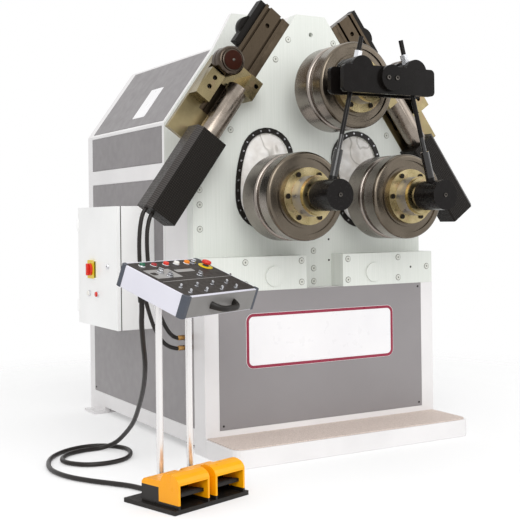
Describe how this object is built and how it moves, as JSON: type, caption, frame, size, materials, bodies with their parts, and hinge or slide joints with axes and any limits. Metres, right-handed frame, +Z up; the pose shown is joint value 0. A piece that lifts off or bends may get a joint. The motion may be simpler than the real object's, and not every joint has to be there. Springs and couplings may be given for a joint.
{
  "type": "angle roll bender",
  "caption": "Floor-standing profile bending machine with driven forming rolls on swing arms, side guides, tie-rod yoke, switch cabinet and a control desk on a foot switch.",
  "frame": {"origin": "on the floor, at the centre of the base anchor holes", "axes": "+X to the right of someone facing the rolls, -Y out of the front, +Z up"},
  "size_m": [2.1875, 2.138, 2.0459],
  "materials": {
    "frame_white": "satin paint",
    "panel_grey": "satin paint",
    "tread": "grit sheet",
    "face_white": "machined and painted",
    "bearing_steel": "primed",
    "black_ring": "matt",
    "screw_steel": "zinc",
    "cloth": "woven",
    "motor_blue": "paint",
    "shaft_steel": "ground",
    "roll_steel": "turned",
    "gold_zinc": "yellow zinc",
    "black_steel": "semi-gloss",
    "rail_steel": "ground",
    "guard_black": "textured",
    "cabinet_white": "satin paint",
    "red_plastic": "gloss",
    "green_plastic": "gloss",
    "chrome": "polished",
    "desk_paint": "satin paint",
    "dark_trim": "matt",
    "pole_steel": "brushed",
    "foot_black": "matt",
    "pedal_yellow": "gloss paint",
    "cable_rubber": "matt"
  },
  "bodies": {
    "machine": {"base_frame": "frame_white", "base_panels": "panel_grey", "front_step": "frame_white", "step_tread": "tread", "face_plate": "face_white", "head_housing": "frame_white", "rear_housing": "frame_white", "housing_panels": "panel_grey", "bearing_plate": "bearing_steel", "apron_plates": "face_white", "trunnion_covers": "face_white", "slot_rings": "black_ring", "face_screws": "screw_steel", "left_gaiter": "cloth", "right_gaiter": "cloth", "top_motor": "motor_blue", "yoke": "black_steel", "guide_brackets": "gold_zinc", "guide_rails": "rail_steel", "guide_guards": "guard_black", "switch_cabinet": "cabinet_white", "control_desk": "desk_paint", "desk_trim": "dark_trim", "stand_poles": "pole_steel", "foot_plate": "foot_black", "pedal_guards": "pedal_yellow", "control_cable": "cable_rubber", "hydraulic_hoses": "cable_rubber"},
    "top_spindle": {"top_shaft": "shaft_steel", "top_roll": "roll_steel", "top_clamp": "gold_zinc"},
    "left_arm": {"left_arm": "bearing_steel", "left_motor": "motor_blue"},
    "left_spindle": {"left_shaft": "shaft_steel", "left_roll": "roll_steel", "left_clamp": "gold_zinc"},
    "left_cylinder": {"left_cylinder": "motor_blue"},
    "left_piston": {"left_piston": "shaft_steel"},
    "left_lug": {"left_lug": "black_steel"},
    "left_tie": {"left_tie_rod": "black_steel"},
    "left_carriage": {"left_carriage": "gold_zinc"},
    "left_guide": {"left_guide_roller": "rail_steel"},
    "left_pedal": {"left_pedal": "foot_black"},
    "right_arm": {"right_arm": "bearing_steel", "right_motor": "motor_blue"},
    "right_spindle": {"right_shaft": "shaft_steel", "right_roll": "roll_steel", "right_clamp": "gold_zinc"},
    "right_cylinder": {"right_cylinder": "motor_blue"},
    "right_piston": {"right_piston": "shaft_steel"},
    "right_lug": {"right_lug": "black_steel"},
    "right_tie": {"right_tie_rod": "black_steel"},
    "right_carriage": {"right_carriage": "gold_zinc"},
    "right_guide": {"right_guide_roller": "rail_steel"},
    "right_pedal": {"right_pedal": "foot_black"},
    "cabinet_door": {"cabinet_door": "cabinet_white"},
    "main_switch": {"main_switch": "red_plastic"},
    "emergency_stop": {"emergency_stop": "red_plastic"},
    "push_button": {"push_button": "green_plastic"},
    "selector_lever": {"selector_lever": "chrome"}
  },
  "joints": [
    {"name": "top_roll_spin", "type": "hinge", "parent": "machine", "child": "top_spindle", "pos_m": [0, -0.8, 1.62], "axis": [0, -1, 0], "continuous": true},
    {"name": "left_arm_swing", "type": "hinge", "parent": "machine", "child": "left_arm", "pos_m": [0.165, -0.5, 1.16], "axis": [0, 1, 0], "range_deg": [0, 24.5], "deforming": ["left_gaiter"]},
    {"name": "left_roll_spin", "type": "hinge", "parent": "left_arm", "child": "left_spindle", "pos_m": [-0.274, -0.8, 1.129], "axis": [0, -1, 0], "continuous": true},
    {"name": "left_tie_hinge", "type": "hinge", "parent": "left_arm", "child": "left_tie", "pos_m": [-0.274, -1.165, 1.129], "axis": [0, 1, 0], "range_deg": [-21, 0.5]},
    {"name": "left_lug_swivel", "type": "hinge", "parent": "machine", "child": "left_lug", "pos_m": [-0.14, -1.165, 1.652], "axis": [0, 1, 0], "range_deg": [-0.5, 4.5]},
    {"name": "left_cylinder_swing", "type": "hinge", "parent": "machine", "child": "left_cylinder", "pos_m": [-0.276, -0.5, 0.775], "axis": [0, 1, 0], "range_deg": [-3.8, 0.5]},
    {"name": "left_piston_slide", "type": "slide", "parent": "left_cylinder", "child": "left_piston", "axis": [-0.0167, 0, 0.9999], "range_m": [-0.001, 0.2]},
    {"name": "left_carriage_slide", "type": "slide", "parent": "machine", "child": "left_carriage", "axis": [0.5839, 0, 0.8118], "range_m": [-0.07, 0.25]},
    {"name": "left_guide_spin", "type": "hinge", "parent": "left_carriage", "child": "left_guide", "pos_m": [-0.48091, -0.68, 1.73567], "axis": [0, -1, 0], "continuous": true},
    {"name": "right_arm_swing", "type": "hinge", "parent": "machine", "child": "right_arm", "pos_m": [-0.165, -0.5, 1.16], "axis": [0, -1, 0], "range_deg": [0, 24.5], "deforming": ["right_gaiter"]},
    {"name": "right_roll_spin", "type": "hinge", "parent": "right_arm", "child": "right_spindle", "pos_m": [0.274, -0.8, 1.129], "axis": [0, -1, 0], "continuous": true},
    {"name": "right_tie_hinge", "type": "hinge", "parent": "right_arm", "child": "right_tie", "pos_m": [0.274, -1.165, 1.129], "axis": [0, -1, 0], "range_deg": [-21, 0.5]},
    {"name": "right_lug_swivel", "type": "hinge", "parent": "machine", "child": "right_lug", "pos_m": [0.14, -1.165, 1.652], "axis": [0, -1, 0], "range_deg": [-0.5, 4.5]},
    {"name": "right_cylinder_swing", "type": "hinge", "parent": "machine", "child": "right_cylinder", "pos_m": [0.276, -0.5, 0.775], "axis": [0, -1, 0], "range_deg": [-3.8, 0.5]},
    {"name": "right_piston_slide", "type": "slide", "parent": "right_cylinder", "child": "right_piston", "axis": [0.0167, 0, 0.9999], "range_m": [-0.001, 0.2]},
    {"name": "right_carriage_slide", "type": "slide", "parent": "machine", "child": "right_carriage", "axis": [-0.5839, 0, 0.8118], "range_m": [-0.07, 0.25]},
    {"name": "right_guide_spin", "type": "hinge", "parent": "right_carriage", "child": "right_guide", "pos_m": [0.48091, -0.68, 1.73567], "axis": [0, -1, 0], "continuous": true},
    {"name": "cabinet_door_swing", "type": "hinge", "parent": "machine", "child": "cabinet_door", "pos_m": [-0.822, 0.346, 0.8], "axis": [0, 0, -1], "range_deg": [0, 110]},
    {"name": "main_switch_turn", "type": "hinge", "parent": "cabinet_door", "child": "main_switch", "pos_m": [-0.832, 0.14118, 0.79483], "axis": [-1, 0, 0], "range_deg": [0, 90]},
    {"name": "emergency_stop_press", "type": "slide", "parent": "machine", "child": "emergency_stop", "axis": [-0.1627, 0.3193, -0.9336], "range_m": [0, 0.005], "stiffness_N_per_m": 800, "springref_m": -0.004},
    {"name": "push_button_press", "type": "slide", "parent": "machine", "child": "push_button", "axis": [-0.1627, 0.3193, -0.9336], "range_m": [0, 0.005], "stiffness_N_per_m": 800, "springref_m": -0.004},
    {"name": "selector_turn", "type": "hinge", "parent": "machine", "child": "selector_lever", "pos_m": [-1.01467, -1.19896, 0.82329], "axis": [0.1627, -0.3193, 0.9336], "range_deg": [-45, 45]},
    {"name": "left_pedal_press", "type": "hinge", "parent": "machine", "child": "left_pedal", "pos_m": [-1.06198, -1.26555, 0.0398], "axis": [0.9563, 0.2924, 0], "range_deg": [0, 8], "stiffness_Nm_per_rad": 6, "springref_deg": -17.19},
    {"name": "right_pedal_press", "type": "hinge", "parent": "machine", "child": "right_pedal", "pos_m": [-0.8886, -1.21254, 0.0398], "axis": [0.9563, 0.2924, 0], "range_deg": [0, 8], "stiffness_Nm_per_rad": 6, "springref_deg": -17.19}
  ],
  "couplings": [
    {"joint": "left_roll_spin", "follows": "top_roll_spin", "ratio": -1},
    {"joint": "left_tie_hinge", "follows": "left_arm_swing", "ratio": -0.84},
    {"joint": "left_lug_swivel", "follows": "left_arm_swing", "ratio": 0.16},
    {"joint": "left_cylinder_swing", "follows": "left_arm_swing", "ratio": -0.144},
    {"joint": "left_piston_slide", "follows": "left_arm_swing", "m_per_rad": 0.46},
    {"joint": "right_roll_spin", "follows": "top_roll_spin", "ratio": -1},
    {"joint": "right_tie_hinge", "follows": "right_arm_swing", "ratio": -0.84},
    {"joint": "right_lug_swivel", "follows": "right_arm_swing", "ratio": 0.16},
    {"joint": "right_cylinder_swing", "follows": "right_arm_swing", "ratio": -0.144},
    {"joint": "right_piston_slide", "follows": "right_arm_swing", "m_per_rad": 0.46}
  ]
}
